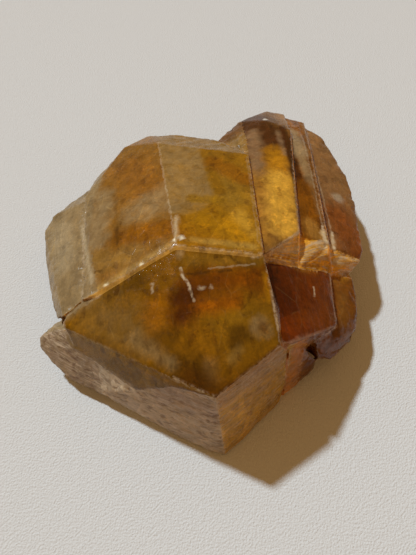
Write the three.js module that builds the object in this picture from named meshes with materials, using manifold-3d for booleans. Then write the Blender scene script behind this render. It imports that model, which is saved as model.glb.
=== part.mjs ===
// A hand-sized lump of honey-coloured calcite, resting on its flat broken underside.
//
// Calcite splits along three sets of flat planes, so the stone is a few intergrown
// blocks, each with flat faces and straight edges. Each block here is the convex
// solid over its own corner points, and all the blocks are joined into one piece.
// Millimetres, +Z up. The viewer's side is -Y.

import * as THREE from "three";
import { ConvexGeometry } from "three/addons/geometries/ConvexGeometry.js";
import { mergeVertices } from "three/addons/utils/BufferGeometryUtils.js";
import Module from "manifold-3d";

// Driving heights above the table.
const RIDGE_Z = 27; // left end of the main ridge, the stone's backbone
const RIDGE_RISE = 1; // how much higher the ridge is at its right end
const RIDGE_STEP = 0.35; // the front face starts this far below the ridge
const FRONT_TIP_Z = 21.2; // sharp corner at the front, where three faces meet
const FRONT_RIGHT_Z = 23; // right end of the front face
const FRONT_LEFT_Z = 15; // left end of the front face
const BACK_Z = 19; // back of the upper faces
const RIM_Z = 14; // bevelled rim round the back
const OUTER_Z = 13.2; // outer edge of the stepped column on the right
const SIDE_Z = 10; // outer edge of the low clear block on the right
const COLUMN_STEP = 1.1; // drop from one column face to the next
const BASE_Z = 0;

// Stone's own colour and finish.
const STONE_COLOUR = "#a0682a";
const STONE_ROUGHNESS = 0.3;

const RIDGE_RIGHT_Z = RIDGE_Z + RIDGE_RISE;
const FRONT_RIDGE_Z = RIDGE_Z - RIDGE_STEP;

// Upper block: two wide, nearly level faces that fall away from the ridge to a bevelled back rim.
const upperBlock = [
  [-7.2, -0.7, RIDGE_Z],
  [12.5, -3.9, RIDGE_RIGHT_Z],
  [11.5, 35, BACK_Z + 2.5],
  [-14.5, 42.5, BACK_Z],
  [-35, 25, RIM_Z + 0.5],
  [-30, 8, BACK_Z - 1.5],
  [-29.5, -10, BACK_Z - 1],
  [-34, 34, RIM_Z - 1.5],
  [-29.5, 39, RIM_Z - 0.5],
  [-26, 46.5, RIM_Z],
  [-19, 51, RIM_Z + 0.5],
  [-9, 50.5, RIM_Z + 1.5],
  [1.5, 47.5, RIM_Z + 2.5],
  [9.5, 41.5, RIM_Z + 4],
  [-31, 30, BASE_Z],
  [-22, 45, BASE_Z],
  [-4, 47, BASE_Z],
  [10, 40, BASE_Z],
  [12, -1, BASE_Z],
  [-26, -5, BASE_Z],
];

// Left flange: a thin pale wing that slopes outwards and overhangs the table.
const leftFlange = [
  [-29.5, -10, BACK_Z - 1.4],
  [-30, 8, BACK_Z - 1.9],
  [-34.5, 24, RIM_Z + 0.2],
  [-34, 33, RIM_Z - 2.5],
  [-42, 24.5, SIDE_Z],
  [-45, 22.5, SIDE_Z - 0.5],
  [-47, 18, SIDE_Z - 1.5],
  [-44.5, 8, SIDE_Z - 1.5],
  [-41.3, -1.5, SIDE_Z - 1],
  [-38.2, -9.5, SIDE_Z + 1],
  [-36.2, -12.5, SIDE_Z + 2.5],
  [-34, -13, FRONT_LEFT_Z + 0.6],
  [-43.5, 18, 3],
  [-39, 0, 4],
  [-34, -9, 5],
  [-33, 26, BASE_Z],
  [-32, 4, BASE_Z],
  [-24, -6, BASE_Z],
  [-22, 24, BASE_Z],
];

// Front block: the large glassy face on top, a striated wall on each side of its sharp front corner.
const frontBlock = [
  [-7.3, -0.4, FRONT_RIDGE_Z],
  [12.6, -3.9, RIDGE_RIGHT_Z - RIDGE_STEP],
  [15.4, -23.2, FRONT_RIGHT_Z],
  [1.6, -33.8, FRONT_TIP_Z],
  [-7.5, -29.4, FRONT_TIP_Z - 0.5],
  [-18.5, -21, FRONT_TIP_Z - 1.7],
  [-33, -15.8, FRONT_LEFT_Z + 0.5],
  [-34.2, -14, FRONT_LEFT_Z],
  [-26, -20.8, FRONT_LEFT_Z - 0.5],
  [-19.5, -24.2, FRONT_TIP_Z - 4.7],
  [-7.6, -30.7, FRONT_TIP_Z - 2.4],
  [17.1, -23.5, FRONT_RIGHT_Z - 3],
  [18.3, -26.3, 8],
  [17.7, -28.5, 1.2],
  [13.8, -32.4, 0.8],
  [7.9, -37.8, 0.5],
  [3.9, -41, 0.6],
  [-0.2, -40, 0.9],
  [-7.4, -36.8, 1.2],
  [-20, -29.5, 2.2],
  [-26.3, -27.5, 3.5],
  [16, -28, BASE_Z],
  [5, -38.5, BASE_Z],
  [-2, -38, BASE_Z],
  [-19, -26, BASE_Z],
  [11.5, 4, FRONT_RIDGE_Z - 0.8],
  [-8, 6, FRONT_RIDGE_Z - 1.8],
  [-30, -7, FRONT_LEFT_Z + 2.1],
  [-28, -8, BASE_Z],
  [12, 4, BASE_Z],
  [-18, 6, BASE_Z],
];

// Lower left lobe: a rounded, rough end of the front block with a hollow under it.
const leftLobe = [
  [-33.3, -15.2, FRONT_LEFT_Z - 1.4],
  [-26, -20.8, FRONT_LEFT_Z - 0.7],
  [-39, -12.4, 10],
  [-41.5, -15, 8.5],
  [-41.5, -17, 7.3],
  [-39, -19.8, 5.3],
  [-36, -22.2, 4],
  [-33, -24.5, 3.5],
  [-26.3, -27.3, 3.6],
  [-36, -12, 3],
  [-28, -22, 1.6],
  [-33, -8, 9],
  [-31, -9, BASE_Z],
  [-24, -20, BASE_Z],
  [-20, -10, BASE_Z],
];

// Back ledge: a lower broken step behind the bevelled rim.
const backLedge = [
  [-31, 34, 9.5],
  [-27, 45, 9],
  [-21, 53, 8],
  [-10, 55.5, 7.5],
  [3, 53, 8.5],
  [12, 44, 9],
  [-10, 30, 9],
  [-28, 40, BASE_Z],
  [-21, 50, BASE_Z],
  [-8, 53.5, BASE_Z],
  [4, 50, BASE_Z],
  [8, 30, BASE_Z],
  [-24, 30, BASE_Z],
];

// Gold column: the first and highest of the stepped faces on the right.
const goldColumn = [
  [10.5, 36, BACK_Z + 1.2],
  [12.2, -3.7, RIDGE_RIGHT_Z - COLUMN_STEP],
  [22, 5.3, 24],
  [25, 48, BACK_Z],
  [17.5, 54.5, BACK_Z - 1.5],
  [1.5, 49, RIM_Z - 1],
  [9.7, 58.5, RIM_Z],
  [19.2, 64, RIM_Z],
  [25.3, 62.6, RIM_Z - 0.3],
  [13.5, -4, 24.5],
  [21.8, -2.3, 19.6],
  [2, 44, BASE_Z],
  [17, 60, BASE_Z],
  [25, 56, BASE_Z],
  [28, 0, BASE_Z],
  [12, -4, BASE_Z],
];

// Brown column: the second face, a step lower, which leans to the right.
const brownColumn = [
  [20, 6, 24 - COLUMN_STEP],
  [23, 48, BACK_Z - COLUMN_STEP],
  [30.3, 40.4, 18],
  [30, 5, 20],
  [29.5, 2.5, 19],
  [31.6, 59.2, RIM_Z - 0.8],
  [24.5, 62, RIM_Z - 1],
  [21.8, -2.3, 19.6],
  [31.2, -0.4, 14.6],
  [24, 56, BASE_Z],
  [29, 54, BASE_Z],
  [29, 2, BASE_Z],
  [18, 2, BASE_Z],
];

// Outer column: the third face, lower again, with the stone's curved right edge.
const outerColumn = [
  [28.5, 40.4, 18 - COLUMN_STEP],
  [28.8, 4, 20 - COLUMN_STEP],
  [31, 58, RIM_Z - 1.2],
  [36.5, 51.8, OUTER_Z],
  [38.4, 42, OUTER_Z],
  [41.2, 35, OUTER_Z],
  [42, 25, OUTER_Z],
  [41.5, 15.5, OUTER_Z],
  [41, 7.5, OUTER_Z],
  [39.6, 4, OUTER_Z - 0.2],
  [31.2, -0.3, 14.7],
  [37.4, 1.6, 11.4],
  [30, 53, BASE_Z],
  [36, 38, BASE_Z],
  [38, 22, BASE_Z],
  [36, 6, BASE_Z],
  [24, 4, BASE_Z],
];

// Dark block: the flat, dark red-brown face in front of the columns.
const darkBlock = [
  [12, -4, 25.4],
  [14, 4, 22],
  [21.8, -1, 20],
  [28, 6, 15],
  [30.8, 1, 14.9],
  [30.6, -14.6, 14],
  [24.4, -19.7, 17],
  [17, -23, 22],
  [14.5, -22, 23],
  [30, 6, BASE_Z],
  [29, -12, BASE_Z],
  [16, -22, BASE_Z],
  [12, -4, BASE_Z],
];

// Clear side block: low and glassy, outside the dark block, with a broken hollow under it.
const sideBlock = [
  [30.8, 0.6, 13.9],
  [30.6, -14.6, 13],
  [24.4, -19.6, 14.5],
  [37.6, 0.6, SIDE_Z + 1.5],
  [37.9, -3.7, SIDE_Z + 0.5],
  [37.6, -9, SIDE_Z],
  [36.6, -13, SIDE_Z - 1],
  [35.7, -15.8, SIDE_Z - 3],
  [31.6, -18.4, 6],
  [30, -20.3, 6],
  [26.2, -20.8, 8],
  [34, -14, 3.6],
  [28, -17, 3],
  [36, -3, 2.5],
  [35.5, 4.5, 9],
  [34, 4, BASE_Z],
  [29, -10, BASE_Z],
  [20, -12, BASE_Z],
];

// Broken foot: rough rock between the striated wall and the clear side block.
const brokenFoot = [
  [17.5, -22.5, 19],
  [22.5, -20, 13.5],
  [26.2, -20.7, 8],
  [26.2, -21.7, 4],
  [22, -25.3, 3],
  [18.4, -27.8, 1.6],
  [18.4, -26, 8],
  [17, -27, BASE_Z],
  [23, -22, BASE_Z],
  [24, -16, BASE_Z],
  [14, -18, BASE_Z],
];

const blocks = [
  upperBlock,
  leftFlange,
  frontBlock,
  leftLobe,
  backLedge,
  goldColumn,
  brownColumn,
  outerColumn,
  darkBlock,
  sideBlock,
  brokenFoot,
];

const wasm = await Module();
wasm.setup();

// Turns the corners of a block into a solid that can be joined to others.
function blockSolid(corners) {
  const points = corners.map(([x, y, z]) => new THREE.Vector3(x, y, z));
  const hull = new ConvexGeometry(points);
  hull.deleteAttribute("normal");
  const merged = mergeVertices(hull, 1e-4);
  return new wasm.Manifold(
    new wasm.Mesh({
      numProp: 3,
      vertProperties: new Float32Array(merged.attributes.position.array),
      triVerts: new Uint32Array(merged.index.array),
    })
  );
}

function solidGeometry(solid) {
  const { vertProperties, triVerts } = solid.getMesh();
  const geometry = new THREE.BufferGeometry();
  geometry.setAttribute("position", new THREE.BufferAttribute(vertProperties, 3));
  geometry.setIndex(new THREE.BufferAttribute(triVerts, 1));
  geometry.computeVertexNormals();
  return geometry;
}

// The origin is the middle of the stone's outline, on the surface that it rests on.
function standOnOrigin(geometry) {
  geometry.computeBoundingBox();
  const { min, max } = geometry.boundingBox;
  geometry.translate(-(min.x + max.x) / 2, -(min.y + max.y) / 2, -min.z);
}

const stoneSolid = blocks.map(blockSolid).reduce((whole, block) => whole.add(block));
const stoneGeometry = solidGeometry(stoneSolid);
standOnOrigin(stoneGeometry);

const stone = new THREE.Mesh(
  stoneGeometry,
  new THREE.MeshStandardMaterial({
    color: STONE_COLOUR,
    roughness: STONE_ROUGHNESS,
    metalness: 0,
  })
);
stone.name = "calcite_specimen";

const specimen = new THREE.Group();
specimen.add(stone);

export default specimen;
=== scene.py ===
# %% [markdown]
# # A honey calcite hand specimen
#
# The stone is one natural piece, so the scene holds one piece too. The packed
# model gives its exact blocks and corners. This file turns that plain solid into
# a worn, splintered and glassy mineral, lays it on a pale table and lights it.

import math

import bmesh
import bpy
import numpy as np
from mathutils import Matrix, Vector, kdtree, noise


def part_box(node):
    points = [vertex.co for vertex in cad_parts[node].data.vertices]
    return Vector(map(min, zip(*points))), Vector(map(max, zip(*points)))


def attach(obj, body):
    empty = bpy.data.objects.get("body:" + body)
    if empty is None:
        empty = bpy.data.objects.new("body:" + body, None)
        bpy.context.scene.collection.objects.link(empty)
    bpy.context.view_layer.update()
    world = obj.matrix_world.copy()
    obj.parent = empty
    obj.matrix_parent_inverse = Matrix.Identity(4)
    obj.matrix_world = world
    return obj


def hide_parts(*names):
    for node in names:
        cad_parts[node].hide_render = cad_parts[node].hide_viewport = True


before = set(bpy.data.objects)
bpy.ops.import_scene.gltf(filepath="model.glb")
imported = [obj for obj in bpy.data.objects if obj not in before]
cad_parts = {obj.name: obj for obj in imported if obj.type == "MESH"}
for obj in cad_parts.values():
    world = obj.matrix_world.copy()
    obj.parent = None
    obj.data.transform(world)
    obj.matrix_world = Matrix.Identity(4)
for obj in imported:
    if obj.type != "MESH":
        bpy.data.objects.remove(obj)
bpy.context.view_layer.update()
low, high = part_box("calcite_specimen")
SIZE = high - low
MM = 0.001
NOISE_SEED = 7
noise.seed_set(NOISE_SEED)  # vector noise is seeded by the clock otherwise
print("stone, mm:", [round(s / MM, 1) for s in SIZE])

# %% [markdown]
# ## The camera
#
# The specimen is seen from close above, as by someone who leans over a table. A
# wide lens very near a small thing gives the strong perspective that makes the
# front corner loom, so the camera is placed by its distance and its height angle.

# %% Camera
LOOK_AT = Vector((2.5, -11.5, 12.0)) * MM
LOOK_DOWN = math.radians(58)
CAMERA_DISTANCE = 110 * MM
LENS_MM = 27.9

camera_data = bpy.data.cameras.new("camera")
camera_data.lens = LENS_MM
camera_data.sensor_width = 36
camera_data.clip_start = 1 * MM
camera = bpy.data.objects.new("camera", camera_data)
bpy.context.scene.collection.objects.link(camera)
offset = Vector((0, -math.cos(LOOK_DOWN), math.sin(LOOK_DOWN))) * CAMERA_DISTANCE
camera.location = LOOK_AT + offset
camera.rotation_euler = (math.pi / 2 - LOOK_DOWN, 0, 0)
bpy.context.scene.camera = camera
print("camera at, mm:", [round(c / MM) for c in camera.location])

# %% [markdown]
# ## Finding the corners
#
# A cleaved stone is read by its corners. Each one is named here by roughly where it
# lies in the stone's box, as a fraction of the width, depth and height, and is then
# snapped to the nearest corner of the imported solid, so it is exact.

# %% Corners
cad_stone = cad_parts["calcite_specimen"]
cad_points = np.array([v.co[:] for v in cad_stone.data.vertices])


def corner(name, x, y, z):
    wanted = np.array([low.x + x * SIZE.x, low.y + y * SIZE.y, low.z + z * SIZE.z])
    gaps = np.linalg.norm(cad_points - wanted, axis=1)
    found = cad_points[gaps.argmin()]
    print(f"{name}: off by {gaps.min() / MM:.2f} mm")
    return found


ridge_left = corner("ridge_left", 0.447, 0.384, 0.964)
ridge_right = corner("ridge_right", 0.669, 0.353, 1.0)
front_tip = corner("front_tip", 0.546, 0.069, 0.757)
front_right = corner("front_right", 0.701, 0.17, 0.821)
front_left = corner("front_left", 0.144, 0.257, 0.536)
front_foot = corner("front_foot", 0.572, 0.0, 0.021)
front_bend = corner("front_bend", 0.444, 0.11, 0.739)
left_bend = corner("left_bend", 0.32, 0.19, 0.696)
back_middle = corner("back_middle", 0.365, 0.795, 0.679)
back_right = corner("back_right", 0.657, 0.724, 0.768)
flange_top = corner("flange_top", 0.135, 0.629, 0.518)
flange_side = corner("flange_side", 0.19, 0.467, 0.625)
flange_foot = corner("flange_foot", 0.197, 0.295, 0.643)
gold_front = corner("gold_front", 0.775, 0.441, 0.857)
gold_back = corner("gold_back", 0.809, 0.848, 0.679)
column_front = corner("column_front", 0.865, 0.438, 0.714)
column_back = corner("column_back", 0.869, 0.775, 0.643)
dark_back = corner("dark_back", 0.874, 0.4, 0.532)
dark_front = corner("dark_front", 0.872, 0.251, 0.5)
dark_foot = corner("dark_foot", 0.719, 0.171, 0.786)
dark_middle = corner("dark_middle", 0.802, 0.203, 0.607)

# %% [markdown]
# ## From plain blocks to a fine surface
#
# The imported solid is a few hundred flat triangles. Splinters, pits and worn edges
# need far more points than that. A subdivision surface would round the blocks off,
# and a voxel remesh would blur their edges, so long edges are split again and again
# instead: the shape stays exactly as it is and only gains points. The split is finer
# beside a sharp edge, because that is where a stone chips.

# %% Copy the solid and list its sharp edges
SHARP_ANGLE = math.radians(9)
EDGE_SAMPLE = 0.3 * MM

body = bmesh.new()
body.from_mesh(cad_stone.data)
bmesh.ops.remove_doubles(body, verts=body.verts, dist=0.01 * MM)
bmesh.ops.dissolve_limit(body, angle_limit=math.radians(1), verts=body.verts, edges=body.edges)
bmesh.ops.triangulate(body, faces=body.faces)
body.normal_update()

edge_points = []
edge_turns = []
for edge in body.edges:
    turn = edge.calc_face_angle_signed() if len(edge.link_faces) == 2 else 0
    if turn < SHARP_ANGLE:
        continue
    start, end = (v.co for v in edge.verts)
    steps = max(1, int((end - start).length / EDGE_SAMPLE))
    edge_points += [start.lerp(end, (i + 0.5) / steps) for i in range(steps)]
    edge_turns += [turn] * steps

edge_tree = kdtree.KDTree(len(edge_points))
for i, point in enumerate(edge_points):
    edge_tree.insert(point, i)
edge_tree.balance()
print("plain faces:", len(body.faces), "sharp edge samples:", len(edge_points))

# %% [markdown]
# Splitting in rounds matters. If every long edge were cut into its final count at
# once, a long thin triangle would become many long thin ones. Halving the longest
# edges, then flipping the diagonals inside each flat face, keeps them well shaped.

# %% Split the long edges
FINE_STEP = 0.5 * MM
COARSE_STEP = 0.95 * MM
FINE_REACH = 1.0 * MM
MAX_ROUNDS = 12


def wanted_step(point):
    gap = edge_tree.find(point)[2]
    return FINE_STEP if gap < FINE_REACH else COARSE_STEP


for _ in range(MAX_ROUNDS):
    long_edges = []
    for edge in body.edges:
        length = edge.calc_length()
        if length > COARSE_STEP * 1.4:
            long_edges.append(edge)
        elif length > FINE_STEP * 1.4:
            middle = (edge.verts[0].co + edge.verts[1].co) / 2
            if length > wanted_step(middle) * 1.4:
                long_edges.append(edge)
    if not long_edges:
        break
    bmesh.ops.subdivide_edges(body, edges=long_edges, cuts=1)
    bmesh.ops.triangulate(body, faces=[f for f in body.faces if len(f.verts) > 3])
    body.normal_update()
    flat = [e for e in body.edges if e.is_manifold and abs(e.calc_face_angle_signed()) < 0.002]
    bmesh.ops.beautify_fill(body, faces=body.faces, edges=flat)

bmesh.ops.dissolve_degenerate(body, dist=0.08 * MM, edges=body.edges)
bmesh.ops.triangulate(body, faces=[f for f in body.faces if len(f.verts) > 3])
stone_mesh = bpy.data.meshes.new("honey_calcite_stone")
body.to_mesh(stone_mesh)
body.free()
print("fine points:", len(stone_mesh.vertices), "fine faces:", len(stone_mesh.polygons))

# %% [markdown]
# ## Naming the faces
#
# Every face of the stone broke or grew in its own way: the big cleavage faces are
# glassy, the walls round the sharp front corner are striated, the wedge between the
# columns is a bundle of splinters. Painting by hand would be lost at the next
# rebuild, so each fine triangle is sorted into a zone by plain questions: which
# side of a line between two corners does it lie on, and which way does it face?

# %% Measure the fine triangles
point_count = len(stone_mesh.vertices)
face_count = len(stone_mesh.polygons)
points = np.zeros(point_count * 3)
stone_mesh.vertices.foreach_get("co", points)
points = points.reshape(-1, 3)
faces = np.zeros(face_count * 3, int)
stone_mesh.loops.foreach_get("vertex_index", faces)
faces = faces.reshape(-1, 3)
edge_a = points[faces[:, 1]] - points[faces[:, 0]]
edge_b = points[faces[:, 2]] - points[faces[:, 0]]
normals = np.cross(edge_a, edge_b)
face_areas = np.linalg.norm(normals, axis=1) / 2
normals /= np.maximum(2 * face_areas, 1e-15)[:, None]
centres = points[faces].mean(axis=1)


def left_of(a, b, where):
    """How far, in mm, points lie to the left of the line from a to b, seen from above."""
    run = (b - a)[:2]
    run = run / np.linalg.norm(run)
    gap = where[:, :2] - a[:2]
    return (run[0] * gap[:, 1] - run[1] * gap[:, 0]) / MM


# %% [markdown]
# The order below matters: a triangle stays in the first zone that claims it. Whatever
# nothing claims is the broken back, which is zone 0.

# %% Sort the triangles into zones
ZONES = [
    "broken_back", "underside", "front_face", "upper_left", "upper_right", "rim", "flange",
    "gold_column", "brown_column", "outer_column", "splinters", "dark_face", "side_block",
    "broken_foot", "left_wall", "left_bevel", "right_wall", "lobe", "ridge_step", "seam",
]
zone = np.zeros(face_count, int)
facing_x, facing_y, facing_up = normals.T
across, deep, tall = (centres / MM).T


def put_in(name, where):
    zone[where & (zone == 0)] = ZONES.index(name)


ahead_of_ridge = (left_of(front_left, ridge_left, centres) < 0.1) & (
    left_of(ridge_left, ridge_right, centres) < 0.1
)
left_of_columns = left_of(ridge_right, back_right, centres) > -0.05
left_of_dark = left_of(ridge_right, front_right, centres) < 0.05
beside_flange = (left_of(flange_foot, flange_side, centres) < 0.3) & (
    left_of(flange_side, flange_top, centres) < 0.3
)
right_of_gold = left_of(gold_front, gold_back, centres) < 0.05
right_of_brown = left_of(column_front, column_back, centres) < 0.05
in_front_of_columns = deep < (ridge_right[1] / MM + 11)
ahead_of_columns = (left_of(ridge_right, gold_front, centres) < 0.2) & (
    left_of(gold_front, column_front, centres) < 0.2
)
wedge_end = np.array([33.7, -12.0, 15.0]) * MM
behind_dark = left_of(ridge_right, wedge_end, centres) > -0.1
beside_ridge = (np.abs(left_of(front_left, ridge_left, centres)) < 6) | (
    np.abs(left_of(ridge_left, ridge_right, centres)) < 6
)

put_in("underside", (facing_up < -0.9) & (tall < 0.6))
put_in("ridge_step", beside_ridge & left_of_dark & (facing_up < 0.9) & (facing_y < -0.3)
       & (tall > 13) & (across > front_left[0] / MM) & (across < ridge_right[0] / MM + 1)
       & (deep > front_left[1] / MM - 1.5))
# The seam walls face away from the lamp; their bright colour in the table is painted light.
put_in("seam", (np.abs(facing_up) < 0.6) & (deep > ridge_right[1] / MM + 1) & (deep < gold_back[1] / MM + 2)
       & (across > ridge_right[0] / MM - 8) & (across < column_front[0] / MM + 3) & (tall > 9))
put_in("front_face", ahead_of_ridge & left_of_dark & (facing_up > 0.85))
put_in("left_bevel", (facing_up > 0.37) & (facing_up < 0.85) & (facing_y < -0.4) & (facing_x < 0)
       & (tall > 12) & (deep < front_left[1] / MM - 0.5) & (across > front_left[0] / MM + 1))
put_in("lobe", (across < front_left[0] / MM + 9) & (deep < front_left[1] / MM - 0.5))
put_in("left_wall", (facing_y < -0.4) & (facing_x < 0.25) & (deep < front_left[1] / MM)
       & (across < front_foot[0] / MM + 1))
put_in("right_wall", (facing_x > 0.3) & (facing_y < -0.2) & (across < front_right[0] / MM + 3)
       & (deep < front_right[1] / MM + 1))
put_in("upper_left", beside_flange & ~ahead_of_ridge & (facing_up > 0.87)
       & (left_of(ridge_left, back_middle, centres) > 0))
put_in("upper_right", ~ahead_of_ridge & left_of_columns & (facing_up > 0.9)
       & (left_of(ridge_left, back_middle, centres) <= 0)
       & (left_of(back_middle, back_right, centres) < 0.1))
put_in("rim", left_of_columns & (facing_up > 0.25) & (tall > 12) & beside_flange & (deep > 8))
put_in("flange", ~beside_flange & (facing_up > 0.2) & (tall > 8) & (across < flange_side[0] / MM + 2))
put_in("flange", (across < flange_foot[0] / MM + 4) & (deep > front_left[1] / MM - 1)
       & (facing_up > 0.2) & (tall > 9))
put_in("splinters", behind_dark & (tall > 10) & (across > ridge_right[0] / MM - 1) & (
    ahead_of_columns | (in_front_of_columns & (facing_y < -0.35))))
put_in("dark_face", ~left_of_dark & ~behind_dark & (facing_up > 0.75) & (tall > 12.5)
       & (across < dark_front[0] / MM + 0.4) & (deep < ridge_right[1] / MM + 5)
       & (deep > front_right[1] / MM - 1))
put_in("side_block", (across > dark_middle[0] / MM - 2.5) & (deep < dark_back[1] / MM + 4))
put_in("broken_foot", (across > front_right[0] / MM) & (deep < front_right[1] / MM + 8))
put_in("gold_column", ~left_of_columns & ~right_of_gold & (facing_up > 0.3) & (tall > 12))
put_in("brown_column", right_of_gold & ~right_of_brown & (facing_up > 0.3) & (tall > 11.5))
put_in("outer_column", right_of_brown & (facing_up > 0.3) & (tall > 11))
for number, name in enumerate(ZONES):
    print(f"{name}: {face_areas[zone == number].sum() / MM**2:.0f} mm2")

# %% [markdown]
# ## What each face is like
#
# One short table says how every zone looks and feels. The colour is what soft light
# brings out of the stone there; on the splinters, the right wall and the seam it is
# coloured brighter, as painted light on faces that get little light here. Veil is the
# milky haze of tiny flaws under a face.
# Clear is how much of the light goes through instead of scattering. Grain, fibre and
# step are real relief in millimetres: random roughness, the depth of the parallel
# striations, and the height of the broken cleavage steps. Vein is how strongly the
# colour is threaded along the fibres, from 0 to 1.

# %% Finish table
def colour(red, green, blue):
    """Turns screen values, 0 to 255, into the linear light that shaders work in."""
    return [((c / 255 + 0.055) / 1.055) ** 2.4 if c > 10 else c / 255 / 12.92 for c in (red, green, blue)]


FINISH = {
    #                colour                 veil  rough clear grain fibre step  vein
    "broken_back": (colour(142, 98, 50), 0.40, 0.40, 0.12, 0.16, 0.00, 0.75, 0.10),
    "underside": (colour(125, 85, 42), 0.40, 0.50, 0.10, 0.04, 0.00, 0.00, 0.00),
    "front_face": (colour(142, 92, 5), 0.00, 0.09, 0.30, 0.03, 0.00, 0.00, 0.34),
    "upper_left": (colour(150, 100, 28), 0.13, 0.13, 0.25, 0.04, 0.00, 0.00, 0.22),
    "upper_right": (colour(160, 108, 12), 0.03, 0.11, 0.25, 0.04, 0.00, 0.00, 0.16),
    "rim": (colour(146, 106, 44), 0.25, 0.24, 0.18, 0.14, 0.00, 0.35, 0.20),
    "flange": (colour(142, 116, 78), 0.40, 0.18, 0.22, 0.10, 0.10, 0.20, 0.45),
    "gold_column": (colour(152, 104, 44), 0.04, 0.15, 0.22, 0.04, 0.06, 0.00, 0.22),
    "brown_column": (colour(136, 78, 6), 0.02, 0.16, 0.22, 0.05, 0.16, 0.00, 0.55),
    "outer_column": (colour(146, 100, 56), 0.16, 0.18, 0.20, 0.10, 0.05, 0.15, 0.30),
    # Painted light: the splinters are coloured brighter than the stone, as their steep faces get little
    # light here.
    "splinters": (colour(232, 164, 46), 0.06, 0.14, 0.15, 0.10, 0.60, 0.00, 1.00),
    "dark_face": (colour(112, 44, 0), 0.00, 0.12, 0.20, 0.03, 0.12, 0.00, 0.50),
    "side_block": (colour(130, 74, 12), 0.06, 0.13, 0.25, 0.18, 0.00, 0.60, 0.25),
    "broken_foot": (colour(192, 118, 22), 0.10, 0.30, 0.15, 0.28, 0.00, 0.60, 0.30),
    "left_wall": (colour(184, 160, 128), 0.30, 0.34, 0.08, 0.20, 0.16, 0.00, 0.22),
    "left_bevel": (colour(120, 86, 12), 0.00, 0.24, 0.10, 0.10, 0.00, 0.00, 0.15),
    # Painted light: the right wall lies in shade and is coloured bright gold as if lit through the stone.
    "right_wall": (colour(180, 134, 42), 0.05, 0.20, 0.12, 0.05, 0.34, 0.00, 0.85),
    "lobe": (colour(150, 126, 102), 0.50, 0.36, 0.10, 0.16, 0.12, 0.00, 0.20),
    "ridge_step": (colour(190, 138, 56), 0.10, 0.14, 0.15, 0.06, 0.00, 0.00, 0.10),
    # Painted light: the seam walls lie in the lamp's shadow and are coloured bright.
    "seam": (colour(240, 166, 62), 0.00, 0.22, 0.05, 0.03, 0.00, 0.00, 0.30),
}
finish = np.array([[*FINISH[name][0], *FINISH[name][1:]] for name in ZONES])
print("zones:", len(ZONES), "finish values each:", finish.shape[1])

# %% [markdown]
# ## Striations
#
# Calcite grows and tears along its cleavage, so its fine lines run parallel to the
# nearest block edge. Each striated zone borrows its direction from two corners. The
# splintered wedge is the exception: its slivers fan out from the ridge's end.

# %% Fibre directions
def direction(a, b):
    return (b - a) / np.linalg.norm(b - a)


FIBRES = {
    "left_wall": direction(left_bend, front_tip),
    "lobe": direction(left_bend, front_tip),
    "right_wall": direction(front_tip, front_right),
    "dark_face": direction(ridge_right, front_right),
    "front_face": direction(ridge_left, front_tip),
    "gold_column": direction(gold_front, gold_back),
    "brown_column": direction(gold_front, gold_back),
    "outer_column": direction(column_front, column_back),
    "flange": direction(flange_foot, flange_top),
}
fibre = np.tile(direction(ridge_left, back_middle), (face_count, 1))
for name, along in FIBRES.items():
    fibre[zone == ZONES.index(name)] = along
fan = zone == ZONES.index("splinters")
FAN_CENTRE = ridge_right + np.array([-2, 0.5, -1]) * MM
fibre[fan] = centres[fan] - FAN_CENTRE
fibre /= np.linalg.norm(fibre, axis=1)[:, None]
print("zones with their own fibres:", len(FIBRES) + 1, "triangles in the fan:", fan.sum())

# %% [markdown]
# ## Soft borders inside a face, hard borders at an edge
#
# A crystal changes its look at once where one face meets the next, but within one
# face it changes slowly. The table's values are spread from triangle to triangle
# wherever two triangles lie flat against each other, and never across a sharp edge.

# %% Spread the values over flat neighbours
FLAT_COSINE = math.cos(math.radians(12))
SPREAD_ROUNDS = 8

sides = np.sort(np.concatenate([faces[:, [0, 1]], faces[:, [1, 2]], faces[:, [2, 0]]]), axis=1)
side_face = np.tile(np.arange(face_count), 3)
order = np.lexsort((sides[:, 1], sides[:, 0]))
sides, side_face = sides[order], side_face[order]
paired = np.flatnonzero((sides[1:] == sides[:-1]).all(axis=1))
first, second = side_face[paired], side_face[paired + 1]
flat_pair = (normals[first] * normals[second]).sum(axis=1) > FLAT_COSINE
frosted = np.isin(zone, [ZONES.index(name) for name in ("left_wall", "lobe")])
flat_pair |= frosted[first] & frosted[second]
first, second = first[flat_pair], second[flat_pair]

face_values = np.hstack([finish[zone], fibre])
for _ in range(SPREAD_ROUNDS):
    total, count = face_values.copy(), np.ones(face_count)
    for here, there in ((first, second), (second, first)):
        np.add.at(total, here, face_values[there])
        np.add.at(count, here, 1)
    face_values = total / count[:, None]
print("flat neighbours:", len(first))

# %% [markdown]
# Relief moves points, and the table speaks of triangles, so each point takes the mean
# of its triangles. It also learns how far the nearest sharp edge is, and how keen that
# edge is, because only keen edges chip.

# %% Average them onto the points
corner_face = np.repeat(np.arange(face_count), 3)
corner_point = faces.ravel()
point_values = np.zeros((point_count, face_values.shape[1]))
point_normals = np.zeros((point_count, 3))
np.add.at(point_values, corner_point, face_values[corner_face])
np.add.at(point_normals, corner_point, normals[corner_face] * face_areas[corner_face][:, None])
meetings = np.bincount(corner_point, minlength=point_count)
point_values /= np.maximum(meetings, 1)[:, None]
point_normals /= np.maximum(np.linalg.norm(point_normals, axis=1), 1e-15)[:, None]
nearest = [edge_tree.find(Vector(p))[1:] for p in points]
edge_gap = np.array([gap for _, gap in nearest]) / MM
edge_turn = np.array([edge_turns[i] for i, _ in nearest])
KEEN_FROM = math.radians(14)
KEEN_RANGE = math.radians(30)
edge_keen = np.clip((edge_turn - KEEN_FROM) / KEEN_RANGE, 0, 1)
print(f"points within 1 mm of a sharp edge: {(edge_gap < 1).mean():.0%}")

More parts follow.
